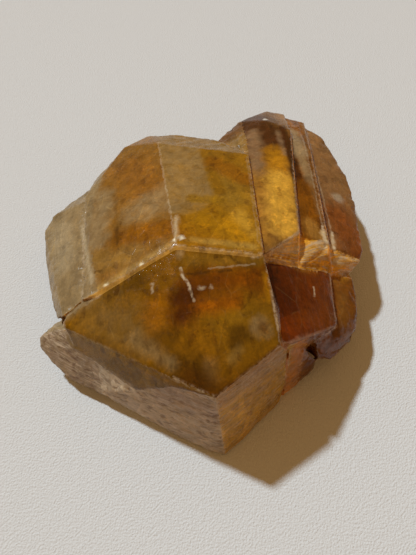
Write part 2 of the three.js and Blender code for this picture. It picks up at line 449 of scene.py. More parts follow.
# %% [markdown]
# ## Real relief
#
# The stone only ever loses material, so every point moves inwards and the finished
# stone stays inside the plain one. Four kinds of wear are added up: slow waves,
# grain, striations, and broken steps that follow two cleavage directions. Sharp edges
# also lose small chips, and larger notches where the stone is broken.

# %% Relief of one point
WAVE = 0.10
WAVE_LENGTH = 9.0
CHIP = 0.30
CHIP_REACH = 1.1
NOTCH = 1.1
NOTCH_REACH = 2.2
CLEAVAGE = [(Vector((0.36, -0.25, 0.90)), 3.4), (Vector((0.83, 0.50, -0.25)), 5.6)]
GROOVES = [(-1.7, 0.35, 0.20), (0.95, 0.30, 0.18)]


def sawtooth(value):
    return value - math.floor(value)


def relief(p, up, values, gap, keen):
    """How far, in mm, this point of the worn stone lies inside the plain one."""
    grain, depth, step = values[6:9]
    along = Vector(values[10:13]).normalized()
    loss = WAVE * (0.5 + 0.5 * noise.noise(p / WAVE_LENGTH))
    rough = noise.fractal(p / 1.6, 0.7, 2.1, 4)
    loss += grain * (0.6 + 0.9 * rough)
    if depth > 0.005:
        cross = up.cross(along)
        lines = noise.noise(Vector((p.dot(along) / 7, p.dot(cross) / 0.75, 3.7)))
        fine = noise.noise(Vector((p.dot(along) / 6, p.dot(cross) / 0.33, 9.1)))
        loss += depth * (0.5 + 0.8 * lines + 0.35 * fine)
    if step > 0.02:
        mask = min(1, max(0, 0.55 + 1.3 * noise.noise(p / 7)))
        bend = 0.35 * noise.noise(p / 4)
        for cleave, spacing in CLEAVAGE:
            loss += step * mask * 0.5 * sawtooth(p.dot(cleave) / spacing + bend)
    if gap < CHIP_REACH:
        chipped = max(0, noise.noise(p / 1.5) + 0.35 * noise.noise(p / 0.6))
        loss += CHIP * keen * (0.25 + 1.3 * chipped) * (1 - gap / CHIP_REACH)
    if gap < NOTCH_REACH and step > 0.12:
        notch = max(0, noise.noise(p / 3.2) + 0.5 * noise.noise(p / 1.2) - 0.05)
        loss += NOTCH * keen * notch * (1 - gap / NOTCH_REACH)
    return max(0, loss)


# %% [markdown]
# Now every point moves inwards along its own normal by what it loses. Two thin ridges
# run along the columns, so the stone between and beside them loses a little more, in
# two grooves that follow the line between the brown and the outer column.

# %% Wear the stone down
from_ridge = left_of(column_front, column_back, points)
behind_column_front = points[:, 1] > column_front[1] - 1 * MM
on_columns = behind_column_front & (points[:, 2] > 11 * MM) & (point_normals[:, 2] > 0.5)
losses = np.zeros(point_count)
for i in range(point_count):
    place = Vector(points[i] / MM)
    losses[i] = relief(place, Vector(point_normals[i]), point_values[i], edge_gap[i], edge_keen[i])
for place, width, depth in GROOVES:
    losses += on_columns * depth * np.exp(-(((from_ridge - place) / width) ** 2))
worn = points - point_normals * losses[:, None] * MM

# %% [markdown]
# A handled edge is never a perfect line. Each point near an edge is pulled towards the
# mean of its neighbours three times, and then kept inside the plain stone's box.

# %% Round the edges a little
WORN_REACH = 0.55
link_a = np.concatenate([faces[:, 0], faces[:, 1], faces[:, 2]])
link_b = np.concatenate([faces[:, 1], faces[:, 2], faces[:, 0]])
link_count = np.maximum(np.bincount(link_a, minlength=point_count), 1)[:, None]
ease = (0.6 * np.clip(1 - edge_gap / WORN_REACH, 0, 1))[:, None]
for _ in range(3):
    pulled = np.zeros_like(worn)
    np.add.at(pulled, link_a, worn[link_b])
    worn += ease * (pulled / link_count - worn)
worn = np.clip(worn, np.array(low), np.array(high))
stone_mesh.vertices.foreach_set("co", worn.ravel())
stone_mesh.update()
print(f"relief, mm: mean {losses.mean():.2f}, deepest {losses.max():.2f}")

# %% [markdown]
# ## Stains, glows, veils, and painted light and shade
#
# Honey calcite is never one even colour. Iron stains it red-brown in places, clean
# parts glow gold, and planes of tiny bubbles make milky veils. Some patches are painted
# light and shade instead: white and gold glints, a pale highlight along the left ridge,
# bright step walls that lie in the lamp's shadow, painted light on the shaded right
# wall, and dark shade in the groove beside the gold column. Each patch below is a
# soft-ended band on one face: where it starts and ends in millimetres, how wide it is,
# its colour and how strong it is. The borders are warped so they look natural.

# %% Patches seen in the stone
PATCHES = [
    # zone         from (x, y)     to (x, y)    width soft colour       strength veil
    ("front_face", (-22, -25), (-14, -31), 5.0, 0.7, (134, 98, 40), 0.6, 0.20),
    ("front_face", (-21, -21), (-12, -18), 2.6, 0.7, (112, 74, 8), 0.6, 0.0),
    ("front_face", (-10, -17), (-5, -22), 3.0, 0.7, (132, 84, 6), 0.5, 0.0),
    ("front_face", (0, -21.5), (13, -21.5), 3.4, 0.6, (132, 66, 0), 0.9, 0.0),
    ("front_face", (6, -30.5), (13, -29), 5.0, 0.7, (152, 106, 12), 0.7, 0.03),
    ("front_face", (-2, -31), (2, -35), 4.0, 0.7, (148, 94, 6), 0.7, 0.0),
    ("front_face", (-3.0, -24), (-3.0, -27.5), 3.0, 0.5, (86, 36, 1), 0.92, 0.0),
    ("front_face", (-8.4, -25.5), (-8.8, -29), 2.6, 0.7, (172, 102, 3), 0.7, 0.0),
    ("front_face", (1, -26.5), (8, -25.8), 1.6, 0.8, (178, 92, 1), 0.75, 0.0),
    ("front_face", (8, -33.5), (9.2, -32.3), 1.9, 0.35, (88, 54, 3), 0.75, 0.0),
    ("front_face", (-7.8, -33), (-5.5, -32.4), 2.2, 0.4, (90, 55, 3), 0.65, 0.0),
    ("front_face", (-2, -40), (5, -44), 4.5, 0.8, (112, 70, 4), 0.7, 0.0),
    ("front_face", (-4, -38), (1, -40.5), 2.6, 0.5, (92, 58, 4), 0.75, 0.0),
    ("front_face", (3.2, -41.5), (3.0, -38.5), 1.3, 0.7, (150, 110, 58), 0.45, 0.1),
    ("front_face", (-1, -41.5), (4.6, -44.5), 2.6, 0.8, (90, 48, 0), 0.85, 0.0),
    ("front_face", (7.3, -37.9), (9, -35.5), 0.9, 0.6, (170, 128, 56), 0.6, 0.1),
    ("front_face", (13.7, -31.4), (13.7, -31.0), 2.3, 0.25, (160, 124, 70), 0.7, 0.4),
    ("front_face", (13.9, -31.4), (13.9, -31.2), 1.1, 0.4, (134, 86, 26), 0.7, 0.0),
    ("front_face", (-13.5, -32), (-5.5, -38), 1.5, 0.6, (150, 118, 72), 0.55, 0.2),
    ("front_face", (-2, -15.5), (13, -16.4), 1.5, 0.4, (150, 104, 18), 0.7, 0.05),
    ("front_face", (15, -20), (16, -25), 0.9, 0.5, (200, 134, 12), 0.75, 0.0),
    ("front_face", (-3.8, -12.5), (-3.8, -14.5), 0.7, 0.7, (184, 148, 96), 0.6, 0.2),
    ("upper_right", (5, 11), (9, 4), 4.5, 0.8, (160, 120, 36), 0.6, 0.05),
    ("upper_right", (-7, 26), (-3.6, 5.5), 7.2, 0.08, (154, 114, 54), 0.9, 0.36),
    ("upper_right", (4, 20), (12, 12), 2.8, 0.3, (152, 92, 8), 0.8, 0.0),
    ("upper_right", (-4, -6), (2, -9), 3.2, 0.6, (154, 92, 8), 0.85, 0.0),
    ("upper_right", (2, -4), (11, -7), 5.0, 0.6, (184, 126, 12), 0.9, 0.0),
    ("upper_right", (10, -2), (13, -9), 1.6, 0.6, (206, 154, 48), 0.6, 0.1),
    ("upper_right", (-1, -10.5), (13, -13), 0.9, 0.5, (192, 150, 66), 0.6, 0.1),
    ("upper_right", (-5.1, -3), (-5.0, -10), 0.7, 0.5, (190, 158, 112), 0.7, 0.4),
    ("upper_left", (-20, 22), (-14, 12), 6.0, 0.5, (156, 98, 26), 0.85, 0.05),
    ("upper_left", (-15, 3), (-8, 6), 4.5, 0.4, (158, 120, 70), 0.8, 0.50),
    ("upper_left", (-19, -6), (-8, -6), 3.2, 0.35, (154, 92, 5), 0.9, 0.0),
    ("upper_left", (-26, 12), (-26, -4), 3.0, 0.5, (152, 122, 80), 0.8, 0.45),
    ("upper_left", (-23, 11.4), (-20.5, -2), 0.7, 0.8, (112, 74, 20), 0.4, 0.0),
    ("upper_left", (-20.5, -2), (-19.7, -7), 0.6, 0.4, (100, 62, 10), 0.8, 0.0),
    ("upper_left", (-24.5, -11), (-16, -12), 3.0, 0.6, (160, 116, 48), 0.8, 0.10),
    # A painted highlight along the left ridge.
    ("upper_left", (-31, -23), (-6, -11.5), 0.8, 0.6, (190, 148, 78), 0.7, 0.2),
    ("upper_right", (-2, 4.5), (5.5, 3.2), 1.5, 0.3, (166, 118, 20), 0.8, 0.0),
    ("upper_right", (3.8, 14), (5.5, 7), 1.4, 0.3, (160, 108, 14), 0.8, 0.0),
    # Painted glints: small white spots of highlight.
    ("upper_left", (-12.8, -15.4), (-12.6, -15.4), 0.5, 0.4, (255, 238, 196), 1.0, 0.0),
    ("upper_left", (-21.2, -18.8), (-21.0, -18.8), 0.5, 0.4, (255, 238, 196), 1.0, 0.0),
    ("upper_left", (-4.9, -10.4), (-4.7, -10.2), 0.6, 0.4, (255, 244, 214), 1.0, 0.0),
    ("upper_right", (-3.8, -9.7), (-3.6, -9.7), 0.5, 0.4, (255, 244, 214), 1.0, 0.0),
    ("flange", (-31.5, 3), (-25, -17), 0.5, 0.5, (196, 176, 142), 0.6, 0.5),
    ("flange", (-39, 5), (-35, -8), 3.0, 0.7, (170, 150, 118), 0.7, 0.6),
    ("left_bevel", (-27, -23.5), (-20, -28.5), 4.0, 0.8, (150, 120, 78), 0.7, 0.20),
    ("left_bevel", (-14, -34), (4, -47), 1.4, 0.9, (124, 78, 20), 0.5, 0.1),
    # Painted glints: two gold spots of highlight.
    ("left_bevel", (-12.3, -34.4), (-12.1, -34.4), 0.5, 0.4, (255, 206, 96), 1.0, 0.0),
    ("left_bevel", (-9.2, -37.2), (-9.0, -37.3), 0.6, 0.4, (255, 196, 60), 1.0, 0.0),
    ("gold_column", (14, 46), (20, 28), 8.5, 0.45, (72, 30, 6), 0.92, 0.0),
    ("gold_column", (16.2, 36), (15.6, 16), 2.2, 0.6, (146, 106, 70), 0.8, 0.30),
    ("gold_column", (15.6, 14), (15, -10), 2.4, 0.6, (182, 124, 40), 0.85, 0.05),
    ("gold_column", (21.6, 25), (22.2, 10), 3.0, 0.7, (190, 126, 16), 0.9, 0.0),
    ("gold_column", (21.6, 13), (20.8, -5), 3.5, 0.45, (230, 170, 58), 0.95, 0.03),
    # Painted shade in the groove beside the gold column.
    ("gold_column", (25.0, 38), (26.4, 12), 1.2, 0.4, (72, 30, 3), 0.92, 0.0),
    ("gold_column", (23.4, 36), (24.2, 24), 0.6, 0.6, (150, 116, 84), 0.55, 0.3),
    # A painted glint.
    ("gold_column", (20.4, 44), (20.6, 44), 0.7, 0.4, (255, 246, 232), 1.0, 0.2),
    # Painted shade in the same groove.
    ("brown_column", (25.8, 42), (27.6, 10), 1.5, 0.5, (70, 26, 2), 0.9, 0.0),
    ("brown_column", (28.4, 38), (29.4, 27), 2.1, 0.4, (162, 136, 100), 0.8, 0.50),
    ("brown_column", (29.4, 27), (30.6, 14), 1.2, 0.5, (158, 128, 88), 0.75, 0.45),
    ("brown_column", (30.6, 14), (31.2, 3), 0.6, 0.6, (152, 114, 66), 0.6, 0.30),
    ("brown_column", (28.5, 12), (28.5, 0), 2.6, 0.6, (146, 84, 6), 0.7, 0.0),
    ("brown_column", (28, -1), (30, -7), 1.8, 0.5, (176, 124, 48), 0.7, 0.1),
    # Painted glints at the bright ends of the column ridges.
    ("brown_column", (31.4, -3), (31.6, -8), 0.6, 0.5, (246, 214, 158), 0.9, 0.2),
    ("outer_column", (34.4, -2), (34.2, -8), 0.6, 0.5, (246, 214, 158), 0.9, 0.2),
    ("outer_column", (37, 28), (40, 18), 4.0, 0.6, (146, 102, 56), 0.6, 0.10),
    ("outer_column", (38.6, 13), (38.9, 12.6), 1.5, 0.35, (180, 160, 140), 0.8, 0.70),
    ("outer_column", (37, 5), (43, -6), 5.5, 0.6, (142, 74, 22), 0.9, 0.0),
    ("splinters", (20, -10), (30, -9), 1.2, 0.5, (236, 184, 96), 0.6, 0.1),
    ("splinters", (30.5, -7.0), (33, -8.0), 0.8, 0.6, (250, 212, 140), 0.5, 0.2),
    ("splinters", (35, -9), (41.5, -7.5), 0.7, 0.6, (240, 196, 120), 0.5, 0.2),
    ("dark_face", (18, -20), (20, -25), 3.0, 0.7, (84, 26, 0), 0.7, 0.0),
    ("dark_face", (22, -18), (30, -15), 2.2, 0.8, (112, 50, 4), 0.6, 0.0),
    ("dark_face", (25, -30), (31, -24), 3.0, 0.8, (112, 60, 4), 0.7, 0.0),
    ("dark_face", (27, -27), (31, -18), 3.2, 0.7, (124, 58, 8), 0.85, 0.0),
    ("dark_face", (21, -31), (24, -30), 2.0, 0.6, (128, 52, 6), 0.7, 0.0),
    ("dark_face", (33.0, -13), (32.9, -26), 0.35, 0.5, (176, 130, 96), 0.8, 0.3),
    ("dark_face", (17.6, -35), (33, -26.3), 0.4, 0.5, (180, 136, 112), 0.8, 0.3),
    ("side_block", (36, -18), (36, -28), 1.6, 0.6, (138, 88, 26), 0.6, 0.1),
    ("side_block", (28, -34), (36, -31), 3.0, 0.6, (104, 54, 14), 0.8, 0.0),
    # Painted light: the two step walls behind the ridge lie in the lamp's shadow and are coloured bright.
    # The dark band after them is painted shade in the groove.
    ("broken_back", (15, -13), (14, 23), 1.6, 0.3, (240, 182, 88), 0.95, 0.0),
    ("broken_back", (32, -6), (32, 36), 1.6, 0.3, (240, 190, 120), 0.95, 0.2),
    ("broken_back", (25, -5), (27.5, 36), 1.2, 0.3, (120, 66, 8), 0.9, 0.0),
    ("rim", (7, 40), (15, 46), 5.0, 0.4, (112, 68, 34), 0.9, 0.1),
    ("broken_back", (6, 50), (20, 50), 9.0, 0.6, (116, 72, 38), 0.8, 0.15),
    ("left_wall", (-34, -30), (-20, -40), 6.0, 0.9, (214, 196, 168), 0.7, 0.35),
    ("left_wall", (4, -47), (-8, -42), 1.2, 0.7, (170, 140, 122), 0.7, 0.4),
    # Painted light: a golden glow on the shaded right wall.
    ("right_wall", (4.5, -51), (9, -46), 3.5, 0.8, (214, 166, 76), 0.7, 0.05),
    ("right_wall", (3, -46.5), (18, -35.5), 1.0, 0.7, (172, 134, 96), 0.85, 0.45),
]

warp = np.array([noise.noise_vector(Vector(p / MM / 2.4))[:] for p in points])
ragged = np.array([noise.noise_vector(Vector(p / MM / 0.8))[:] for p in points])


def patch_strength(start, end, width, soft):
    start, end = np.array(start, float), np.array(end, float)
    reach = end - start
    swing = min(1, width / 2.5) * min(1, 0.5 + soft)
    where = (points / MM + swing * (1.3 * warp + 0.6 * ragged))[:, :2]
    share = np.clip((where - start) @ reach / max(reach @ reach, 1e-6), 0, 1)
    far = np.linalg.norm(where - start - share[:, None] * reach, axis=1) / width
    return np.clip((1 + soft - far) / (2 * soft), 0, 1)


# %% [markdown]
# Colours are stored on the corners of the triangles and not on the points, so that two
# faces which share a point at a sharp edge can still have different colours there.

# %% Average the zone values onto the corners and lay the patches over them
corner_zone = zone[corner_face]
_, corner_group = np.unique(corner_point * len(ZONES) + corner_zone, return_inverse=True)
group_count = np.bincount(corner_group)
corner_values = np.stack([np.bincount(corner_group, face_values[corner_face, k]) / group_count
                          for k in range(6)], axis=1)[corner_group]
for name, start, end, width, soft, shade, strength, veil in PATCHES:
    weight = strength * patch_strength(start, end, width, soft)[corner_point]
    weight *= corner_zone == ZONES.index(name)
    corner_values[:, :3] += weight[:, None] * (np.array(colour(*shade)) - corner_values[:, :3])
    corner_values[:, 3] += weight * (veil - corner_values[:, 3])
print("patches:", len(PATCHES))

# %% [markdown]
# ## A map that follows the fibres
#
# Threads and scratches have to run along each face's own fibres. This UV map stores
# how far along and how far across them a corner lies, in decimetres. In the splinter
# wedge it is polar: the distance from the fan's centre, and the angle round it.

# %% Coordinates that run along the fibres
FAN_RADIUS = 14
corner_along = np.tile(direction(ridge_left, back_middle), (len(corner_zone), 1))
for name, along in FIBRES.items():
    corner_along[corner_zone == ZONES.index(name)] = along
across = np.cross(normals[corner_face], corner_along)
across /= np.maximum(np.linalg.norm(across, axis=1), 1e-9)[:, None]
place = points[corner_point]
lengthwise = (place * corner_along).sum(axis=1) / MM
crosswise = (place * across).sum(axis=1) / MM
spoke = place - FAN_CENTRE
in_fan = corner_zone == ZONES.index("splinters")
lengthwise[in_fan] = np.linalg.norm(spoke[in_fan], axis=1) / MM
crosswise[in_fan] = FAN_RADIUS * np.arctan2(spoke[in_fan, 1], spoke[in_fan, 0])
fibre_map = stone_mesh.uv_layers.new(name="fibre_map")
fibre_map.uv.foreach_set("vector", (np.stack([lengthwise, crosswise], axis=1) / 100).ravel())
print(f"fibre map, mm: {np.ptp(lengthwise):.0f} along, {np.ptp(crosswise):.0f} across")

# %% [markdown]
# Three colour attributes carry all this to the material: the body colour with the
# patches' painted light and shade, then veil, roughness and clearness, then nearness to
# a keen edge (for bruises and painted edge highlights), threads and pits.

# %% Store the looks on the mesh
striated = finish[corner_zone, 9]
PITTED = {"left_wall": 1.0, "lobe": 1.0, "broken_foot": 0.4, "broken_back": 0.6}
pitted = np.array([PITTED.get(name, 0.0) for name in ZONES])[corner_zone]
# How near a keen edge is: it marks pale bruises and a painted edge highlight.
BRUISE_AND_SHEEN_REACH = 1.2
near_edge = (np.clip(1 - edge_gap / BRUISE_AND_SHEEN_REACH, 0, 1) * (0.15 + 0.85 * edge_keen))[corner_point]


def store(name, red, green, blue):
    layer = stone_mesh.color_attributes.new(name=name, type="FLOAT_COLOR", domain="CORNER")
    layer.data.foreach_set("color", np.stack([red, green, blue, np.ones(len(red))], axis=1).ravel())


store("stone_colour", *corner_values[:, :3].T)
store("stone_finish", *corner_values[:, 3:6].T)
store("stone_detail", near_edge, striated, pitted)
for polygon in stone_mesh.polygons:
    polygon.use_smooth = True
print("stored:", [layer.name for layer in stone_mesh.color_attributes])

# %% [markdown]
# ## The honey calcite material
#
# Calcite is clear, but this piece is full of flaws, so part of the light passes
# through and part scatters back in the body colour. Inside the stone the light loses
# blue first, which is why thick parts look like honey. On top come milky veils,
# threads along the fibres, hairline cracks, pits, pale bruised edges that are also
# painted edge highlights, and bright flakes that are painted glints.

# %% Material helpers
honey = bpy.data.materials.new("honey_calcite")
honey.use_nodes = True
tree = honey.node_tree
for node in list(tree.nodes):
    tree.nodes.remove(node)


def add(kind, **settings):
    node = tree.nodes.new(kind)
    for key, value in settings.items():
        setattr(node, key, value)
    return node


def plug(source, target):
    if isinstance(source, (int, float)):
        target.default_value = source
    elif isinstance(source, (tuple, list)):
        target.default_value = (*source, 1) if len(source) == 3 else source
    else:
        tree.links.new(source, target)


def maths(operation, a, b=0.0, clamp=False):
    node = add("ShaderNodeMath", operation=operation, use_clamp=clamp)
    plug(a, node.inputs[0])
    plug(b, node.inputs[1])
    return node.outputs[0]


def blend(amount, a, b, mode="MIX"):
    node = add("ShaderNodeMix", data_type="RGBA", blend_type=mode)
    plug(amount, node.inputs[0])
    plug(a, node.inputs[6])
    plug(b, node.inputs[7])
    return node.outputs[2]


def ramp(value, low_end, high_end, start=0.0, end=1.0):
    node = add("ShaderNodeMapRange")
    for socket, number in zip(node.inputs, (value, low_end, high_end, start, end)):
        plug(number, socket)
    return node.outputs[0]


def noise_at(where, scale, detail=3.0, roughness=0.55, warp_amount=0.0):
    node = add("ShaderNodeTexNoise")
    plug(where, node.inputs["Vector"])
    settings = {"Scale": scale, "Detail": detail, "Roughness": roughness, "Distortion": warp_amount}
    for key, value in settings.items():
        node.inputs[key].default_value = value
    return node.outputs["Fac"]


def channels(name):
    layer = add("ShaderNodeVertexColor", layer_name=name)
    split = add("ShaderNodeSeparateColor")
    plug(layer.outputs["Color"], split.inputs[0])
    return layer.outputs["Color"], split.outputs


print("material:", honey.name)


# %% [markdown]
# ## Two rulers for the patterns
#
# A pattern needs to know where it is on the stone. Object coordinates are the stone's
# own metres, turned here into millimetres, so clouds and cracks run through corners
# as they would in a real block. Striations need a ruler that follows the fibres, so
# they read the fibre map and are stretched along it.

# %% Stone millimetres and fibre millimetres
def stretched(where, scale, turn=0.0):
    """A place for a pattern: turned in the map's plane, and finer where scale is larger."""
    node = add("ShaderNodeMapping")
    plug(where, node.inputs["Vector"])
    node.inputs["Scale"].default_value = scale
    node.inputs["Rotation"].default_value = turn if isinstance(turn, tuple) else (0, 0, turn)
    return node.outputs[0]


coordinates = add("ShaderNodeTexCoord")
stone_mm = add("ShaderNodeVectorMath", operation="SCALE")
plug(coordinates.outputs["Object"], stone_mm.inputs[0])
stone_mm.inputs["Scale"].default_value = 1 / MM
stone_mm = stone_mm.outputs[0]
fibre_map_uv = add("ShaderNodeUVMap", uv_map="fibre_map").outputs[0]
fibre_mm = stretched(fibre_map_uv, (14, 150, 1))
pit_mm = stretched(fibre_map_uv, (42, 105, 1))
scratch_mm = stretched(fibre_map_uv, (16, 240, 1), math.radians(14))
cross_scratch_mm = stretched(fibre_map_uv, (22, 300, 1), math.radians(-7))

body, _ = channels("stone_colour")
_, (veil, rough, clear) = channels("stone_finish")
_, (edge, striated, pitted) = channels("stone_detail")
print("rulers and stored looks:", len(tree.nodes), "nodes")

# %% [markdown]
# ## Body colour
#
# The stored colour is smooth, and a real crystal never is. Three noises darken and
# lighten it: slow clouds, fine grain, and threads along the fibres. A Voronoi texture
# then gives each slanted block of the crystal its own slight tone, as cleavage does.

# %% Clouds, grain, threads and cleavage blocks
mottle = noise_at(stone_mm, 0.32, 5, 0.6, 0.6)
fine = noise_at(stone_mm, 1.6, 4, 0.6)
threads = noise_at(fibre_mm, 1.0, 3, 0.6)
shade = ramp(mottle, 0.3, 0.7, 0.76, 1.26)
shade = maths("MULTIPLY", shade, ramp(fine, 0.3, 0.7, 0.86, 1.14))
thread_shade = maths("MULTIPLY", maths("SUBTRACT", threads, 0.5), maths("POWER", striated, 1.3))
shade = maths("MULTIPLY", shade, ramp(thread_shade, -0.2, 0.2, 0.66, 1.34))


def cells_at(where, feature="F1"):
    node = add("ShaderNodeTexVoronoi", feature=feature)
    plug(where, node.inputs["Vector"])
    node.inputs["Scale"].default_value = 1.0
    return node.outputs


def cell_tones(where):
    """Two unrelated random numbers for each cell."""
    split = add("ShaderNodeSeparateColor")
    plug(cells_at(where)["Color"], split.inputs[0])
    return split.outputs[0], split.outputs[1]


block_place = stretched(stone_mm, (0.22, 0.11, 0.16), (0.35, 0.2, 0.15))
block_tone, _ = cell_tones(block_place)
shade = maths("MULTIPLY", shade, ramp(block_tone, 0.0, 1.0, 0.84, 1.16))
shaded = add("ShaderNodeVectorMath", operation="SCALE")
plug(body, shaded.inputs[0])
plug(shade, shaded.inputs["Scale"])
look = shaded.outputs[0]
print("body colour:", len(tree.nodes), "nodes so far")

# %% [markdown]
# ## Flakes inside
#
# Small cleavage flakes inside the stone catch the light or hide it. They are cells of
# about a millimetre: a few are brighter than the body, as painted glints, and a few
# are darker, and the dark ones fade out where the stone is milky.

# %% Painted glints and dark flakes
PAINTED_GLINT_TINT = (1.45, 1.32, 1.10)
DUSK_TINT = (0.52, 0.42, 0.35)
flake_dark, flake_bright = cell_tones(stretched(stone_mm, (0.9, 0.42, 0.7), (0.2, 0.5, 0.9)))
painted_flake_glint = maths("MULTIPLY", ramp(flake_bright, 0.62, 0.95), ramp(fine, 0.45, 0.60))
flake_dusk = maths("MULTIPLY", ramp(flake_dark, 0.66, 0.95), ramp(mottle, 0.55, 0.42))
flake_dusk = maths("MULTIPLY", flake_dusk, ramp(veil, 0.05, 0.3, 1.0, 0.25))
# The bright flakes are painted glints.
look = blend(maths("MULTIPLY", painted_flake_glint, 0.45), look, PAINTED_GLINT_TINT, "MULTIPLY")
look = blend(maths("MULTIPLY", flake_dusk, 0.55), look, DUSK_TINT, "MULTIPLY")
print("flakes:", len(tree.nodes), "nodes so far")

# %% [markdown]
# ## Milky veils and hairline cracks
#
# Veils are planes of tiny bubbles, so they are drawn as soft clouds, only where the
# stored veil value allows them. Hairline cracks lie between cleavage blocks, so they
# use the distance to the border of the same Voronoi cells that tinted the body.

# %% Veils and hairlines
MILK = (0.46, 0.32, 0.155)
CRACK_GOLD = (0.60, 0.38, 0.12)
cloud = noise_at(stone_mm, 0.36, 3, 0.55, 0.8)
milky = maths("MULTIPLY", veil, ramp(cloud, 0.38, 0.62, 0.25, 1.1), clamp=True)
look = blend(maths("MULTIPLY", milky, 0.75), look, MILK)

border_gap = cells_at(block_place, "DISTANCE_TO_EDGE")["Distance"]
hairline = ramp(border_gap, 0.0, 0.03, 1.0, 0.0)
hairline = maths("MULTIPLY", hairline, ramp(noise_at(stone_mm, 0.22, 2), 0.50, 0.62))
look = blend(maths("MULTIPLY", hairline, ramp(veil, 0.0, 0.4, 0.08, 0.3)), look, CRACK_GOLD)
print("veils and hairlines:", len(tree.nodes), "nodes so far")

# %% [markdown]
# ## Single fine lines
#
# The stone's own cracks, ledge lines and splinter edges are thinner than the mesh's
# triangles, so stored colours can't hold them, and so are the painted glints at the ends
# of the column ridges and the painted shade under the ledge and in the groove beside the
# gold column. Each is drawn in the material instead, as the distance to a short line
# between two places in stone millimetres, seen from above. A noise bends the lines a
# little and breaks them up.

# %% Where the lines run
PALE_LINES = [
    # from (x, y)    to (x, y)      width strength
    ((-3.5, -17.6), (-3.2, -19.2), 0.45, 0.80),  # the white crack in the front face
    ((-3.2, -19.2), (-1.9, -21.1), 0.55, 1.00),
    ((-1.9, -21.1), (-1.0, -23.8), 0.45, 0.80),
    ((-1.0, -23.8), (-0.5, -25.2), 0.35, 0.50),
    ((-9.9, -20.3), (-9.7, -22.2), 0.50, 0.50),  # small marks beside it
    ((0.8, -22.3), (1.4, -22.4), 0.75, 0.55),
    ((2.9, -22.2), (3.3, -22.3), 0.60, 0.45),
    ((2.5, -17.9), (12.8, -17.4), 0.30, 0.30),  # the ledge under the ridge
    ((15.3, -16.5), (17.5, -34.0), 0.50, 0.50),  # the front face's right border
    ((-12.3, 31.5), (-4.8, -11.5), 0.35, 0.30),  # the seam between the upper faces
    ((-5.2, -2.0), (-5.0, -9.5), 0.50, 0.45),
    ((13.2, 22.0), (13.9, -12.0), 0.35, 0.14),
    ((31.2, 38.0), (31.5, -1.0), 0.40, 0.30),  # the two thin ridges on the columns
    ((33.6, 26.0), (34.4, -1.0), 0.40, 0.30),
    # The two bright ends below are painted glints.
    ((31.5, -1.0), (31.4, -7.0), 0.60, 0.90),  # and their bright ends
    ((34.4, -1.0), (34.2, -6.5), 0.60, 0.90),
    ((16.5, -13.7), (24.8, -5.5), 0.50, 0.60),  # slivers that fan out of the wedge
    ((17.0, -13.0), (30.3, -6.0), 0.50, 0.60),
    ((18.0, -12.3), (28.6, -8.5), 0.40, 0.50),
    ((28.7, -7.0), (34.2, -5.6), 0.80, 0.80),
    ((28.7, -7.3), (31.8, -8.3), 0.60, 0.70),
    ((24.7, -10.2), (33.9, -9.3), 0.40, 0.50),
    ((34.3, -8.9), (37.4, -7.5), 0.60, 0.80),
    ((37.4, -7.5), (41.5, -7.0), 0.50, 0.70),
    ((35.0, -9.3), (40.5, -8.6), 0.40, 0.60),
    ((27.5, -18.0), (27.3, -20.2), 0.40, 0.70),  # a nick in the dark face
]
# Dark lines: mostly painted shade, under the ledge and in the groove, with a few small dark marks.
DARK_LINES = [
    ((-2.5, -19.1), (7.5, -18.5), 0.45, 0.60),  # the shadow of the ledge
    ((4.0, -15.4), (7.0, -14.8), 0.50, 0.60),
    ((7.0, -14.8), (9.2, -17.2), 0.50, 0.60),
    ((-24.6, -14.2), (-22.6, -14.6), 0.50, 0.60),
    # Painted shade in the groove beside the gold column.
    ((26.0, 40.0), (24.8, -4.0), 0.55, 0.70),  # the groove beside the gold column
    ((3.5, -31.0), (4.5, -36.0), 0.50, 0.35),
    ((9.0, -9.5), (9.3, -12.5), 0.50, 0.40),
]
print("pale lines:", len(PALE_LINES), "dark lines:", len(DARK_LINES))

# %% Draw the lines
WOBBLE = 1.1
PALE_MARK_AND_GLINT = (0.80, 0.62, 0.40)
DARK_MARK_AND_SHADE = (0.075, 0.026, 0.003)

wobble = add("ShaderNodeTexNoise")
plug(stone_mm, wobble.inputs["Vector"])
wobble.inputs["Scale"].default_value = 0.8
wobbled = add("ShaderNodeVectorMath", operation="MULTIPLY_ADD")
plug(wobble.outputs["Color"], wobbled.inputs[0])
wobbled.inputs[1].default_value = (WOBBLE, WOBBLE, 0)
plug(stone_mm, wobbled.inputs[2])
seen_from_above = add("ShaderNodeVectorMath", operation="MULTIPLY")
plug(wobbled.outputs[0], seen_from_above.inputs[0])
seen_from_above.inputs[1].default_value = (1, 1, 0)


def line_mask(start, end, width, strength):
    """Full strength on a thin line between two places, fading to 0 at its width."""
    reach = (end[0] - start[0], end[1] - start[1], 0)
    span = reach[0] ** 2 + reach[1] ** 2
    from_start = add("ShaderNodeVectorMath", operation="SUBTRACT")
    plug(seen_from_above.outputs[0], from_start.inputs[0])
    from_start.inputs[1].default_value = (start[0] + WOBBLE / 2, start[1] + WOBBLE / 2, 0)
    along = add("ShaderNodeVectorMath", operation="DOT_PRODUCT")
    plug(from_start.outputs[0], along.inputs[0])
    along.inputs[1].default_value = [r / span for r in reach]
    share = maths("ADD", along.outputs["Value"], 0.0, clamp=True)
    foot = add("ShaderNodeVectorMath", operation="SCALE")
    foot.inputs[0].default_value = reach
    plug(share, foot.inputs["Scale"])
    gap = add("ShaderNodeVectorMath", operation="DISTANCE")
    plug(from_start.outputs[0], gap.inputs[0])
    plug(foot.outputs[0], gap.inputs[1])
    return ramp(gap.outputs["Value"], width * 0.25, width, strength, 0.0)


def all_lines(lines):
    total = 0.0
    for line in lines:
        total = maths("MAXIMUM", line_mask(*line), total)
    return total


